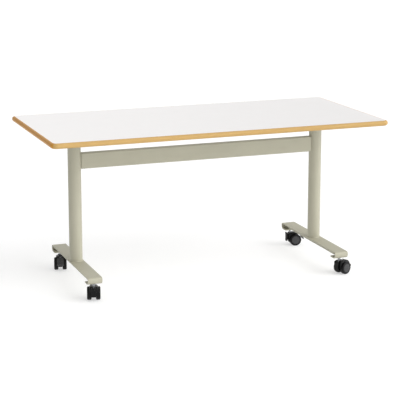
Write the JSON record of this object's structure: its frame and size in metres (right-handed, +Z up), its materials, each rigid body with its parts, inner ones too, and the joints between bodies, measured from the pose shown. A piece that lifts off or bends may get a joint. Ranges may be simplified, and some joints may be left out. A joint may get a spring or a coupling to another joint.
{
  "type": "mobile folding table",
  "caption": "Rectangular flip-top table with a wood-edged laminate top that tilts on a column-and-bar frame with curled feet and braked twin-wheel castors.",
  "frame": {"origin": "on the floor, below the middle of the table top", "axes": "+X along the table's length, +Y to the rear edge, +Z up"},
  "size_m": [1.6, 0.75, 0.737],
  "materials": {
    "laminate": "satin pale grey laminate",
    "backing": "plain backing laminate",
    "core_board": "raw particle board",
    "edge_wood": "clear-lacquered beech",
    "painted_steel": "satin beige-grey powder coat",
    "zinc_steel": "zinc plated",
    "castor_black": "satin black moulding",
    "black_plastic": "black moulding"
  },
  "bodies": {
    "frame": {"column_left": "painted_steel", "column_right": "painted_steel", "foot_left": "painted_steel", "foot_right": "painted_steel", "foot_stiffener_left": "painted_steel", "foot_stiffener_right": "painted_steel", "cross_bar": "painted_steel", "bar_stub_left": "painted_steel", "bar_stub_right": "painted_steel", "bar_screws": "zinc_steel", "tilt_head_left": "painted_steel", "tilt_head_right": "painted_steel", "pivot_bushes_left": "black_plastic", "pivot_bushes_right": "black_plastic", "castor_nuts": "zinc_steel", "castor_stem_front_left": "zinc_steel", "castor_stem_rear_left": "zinc_steel", "castor_stem_front_right": "zinc_steel", "castor_stem_rear_right": "zinc_steel"},
    "top": {"top_core": "core_board", "top_laminate": "laminate", "backing_sheet": "backing", "edge_lip_front": "edge_wood", "edge_lip_rear": "edge_wood", "edge_lip_left": "edge_wood", "edge_lip_right": "edge_wood", "top_bracket_left": "painted_steel", "top_bracket_right": "painted_steel", "bracket_screws": "zinc_steel", "pivot_pin_left": "zinc_steel", "pivot_pin_right": "zinc_steel", "pivot_clips": "zinc_steel", "clamp_stud_left": "zinc_steel", "clamp_stud_right": "zinc_steel"},
    "clamp_left": {"clamp_lever_left": "black_plastic"},
    "clamp_right": {"clamp_lever_right": "black_plastic"},
    "castor_front_left": {"castor_housing_front_left": "castor_black", "castor_axle_front_left": "zinc_steel"},
    "wheel_a_front_left": {"castor_wheel_a_front_left": "castor_black"},
    "wheel_b_front_left": {"castor_wheel_b_front_left": "castor_black"},
    "pedal_front_left": {"castor_pedal_front_left": "castor_black"},
    "castor_rear_left": {"castor_housing_rear_left": "castor_black", "castor_axle_rear_left": "zinc_steel"},
    "wheel_a_rear_left": {"castor_wheel_a_rear_left": "castor_black"},
    "wheel_b_rear_left": {"castor_wheel_b_rear_left": "castor_black"},
    "pedal_rear_left": {"castor_pedal_rear_left": "castor_black"},
    "castor_front_right": {"castor_housing_front_right": "castor_black", "castor_axle_front_right": "zinc_steel"},
    "wheel_a_front_right": {"castor_wheel_a_front_right": "castor_black"},
    "wheel_b_front_right": {"castor_wheel_b_front_right": "castor_black"},
    "pedal_front_right": {"castor_pedal_front_right": "castor_black"},
    "castor_rear_right": {"castor_housing_rear_right": "castor_black", "castor_axle_rear_right": "zinc_steel"},
    "wheel_a_rear_right": {"castor_wheel_a_rear_right": "castor_black"},
    "wheel_b_rear_right": {"castor_wheel_b_rear_right": "castor_black"},
    "pedal_rear_right": {"castor_pedal_rear_right": "castor_black"}
  },
  "joints": [
    {"name": "top_flip", "type": "hinge", "parent": "frame", "child": "top", "pos_m": [0, -0.014, 0.673], "axis": [1, 0, 0], "range_deg": [0, 90]},
    {"name": "clamp_left_turn", "type": "hinge", "parent": "top", "child": "clamp_left", "pos_m": [-0.6, 0.00297, 0.68997], "axis": [-1, 0, 0], "range_deg": [0, 40]},
    {"name": "clamp_right_turn", "type": "hinge", "parent": "top", "child": "clamp_right", "pos_m": [0.6, 0.00297, 0.68997], "axis": [-1, 0, 0], "range_deg": [0, 40]},
    {"name": "castor_front_left_swivel", "type": "hinge", "parent": "frame", "child": "castor_front_left", "pos_m": [-0.6, -0.281, 0.082], "axis": [0, 0, 1], "continuous": true},
    {"name": "wheel_a_front_left_roll", "type": "hinge", "parent": "castor_front_left", "child": "wheel_a_front_left", "pos_m": [-0.59311, -0.25697, 0.03], "axis": [-0.9613, 0.2756, 0], "continuous": true},
    {"name": "wheel_b_front_left_roll", "type": "hinge", "parent": "castor_front_left", "child": "wheel_b_front_left", "pos_m": [-0.59311, -0.25697, 0.03], "axis": [-0.9613, 0.2756, 0], "continuous": true},
    {"name": "pedal_front_left_press", "type": "hinge", "parent": "castor_front_left", "child": "pedal_front_left", "pos_m": [-0.59724, -0.27139, 0.0615], "axis": [-0.9613, 0.2756, 0], "range_deg": [0, 8]},
    {"name": "castor_rear_left_swivel", "type": "hinge", "parent": "frame", "child": "castor_rear_left", "pos_m": [-0.6, 0.281, 0.082], "axis": [0, 0, 1], "continuous": true},
    {"name": "wheel_a_rear_left_roll", "type": "hinge", "parent": "castor_rear_left", "child": "wheel_a_rear_left", "pos_m": [-0.60647, 0.25685, 0.03], "axis": [0.9659, -0.2588, 0], "continuous": true},
    {"name": "wheel_b_rear_left_roll", "type": "hinge", "parent": "castor_rear_left", "child": "wheel_b_rear_left", "pos_m": [-0.60647, 0.25685, 0.03], "axis": [0.9659, -0.2588, 0], "continuous": true},
    {"name": "pedal_rear_left_press", "type": "hinge", "parent": "castor_rear_left", "child": "pedal_rear_left", "pos_m": [-0.60259, 0.27134, 0.0615], "axis": [0.9659, -0.2588, 0], "range_deg": [0, 8]},
    {"name": "castor_front_right_swivel", "type": "hinge", "parent": "frame", "child": "castor_front_right", "pos_m": [0.6, -0.281, 0.082], "axis": [0, 0, 1], "continuous": true},
    {"name": "wheel_a_front_right_roll", "type": "hinge", "parent": "castor_front_right", "child": "wheel_a_front_right", "pos_m": [0.62301, -0.27123, 0.03], "axis": [-0.3907, 0.9205, 0], "continuous": true},
    {"name": "wheel_b_front_right_roll", "type": "hinge", "parent": "castor_front_right", "child": "wheel_b_front_right", "pos_m": [0.62301, -0.27123, 0.03], "axis": [-0.3907, 0.9205, 0], "continuous": true},
    {"name": "pedal_front_right_press", "type": "hinge", "parent": "castor_front_right", "child": "pedal_front_right", "pos_m": [0.6092, -0.27709, 0.0615], "axis": [-0.3907, 0.9205, 0], "range_deg": [0, 8]},
    {"name": "castor_rear_right_swivel", "type": "hinge", "parent": "frame", "child": "castor_rear_right", "pos_m": [0.6, 0.281, 0.082], "axis": [0, 0, 1], "continuous": true},
    {"name": "wheel_a_rear_right_roll", "type": "hinge", "parent": "castor_rear_right", "child": "wheel_a_rear_right", "pos_m": [0.62469, 0.27709, 0.03], "axis": [0.1564, 0.9877, 0], "continuous": true},
    {"name": "wheel_b_rear_right_roll", "type": "hinge", "parent": "castor_rear_right", "child": "wheel_b_rear_right", "pos_m": [0.62469, 0.27709, 0.03], "axis": [0.1564, 0.9877, 0], "continuous": true},
    {"name": "pedal_rear_right_press", "type": "hinge", "parent": "castor_rear_right", "child": "pedal_rear_right", "pos_m": [0.60988, 0.27944, 0.0615], "axis": [0.1564, 0.9877, 0], "range_deg": [0, 8]}
  ]
}
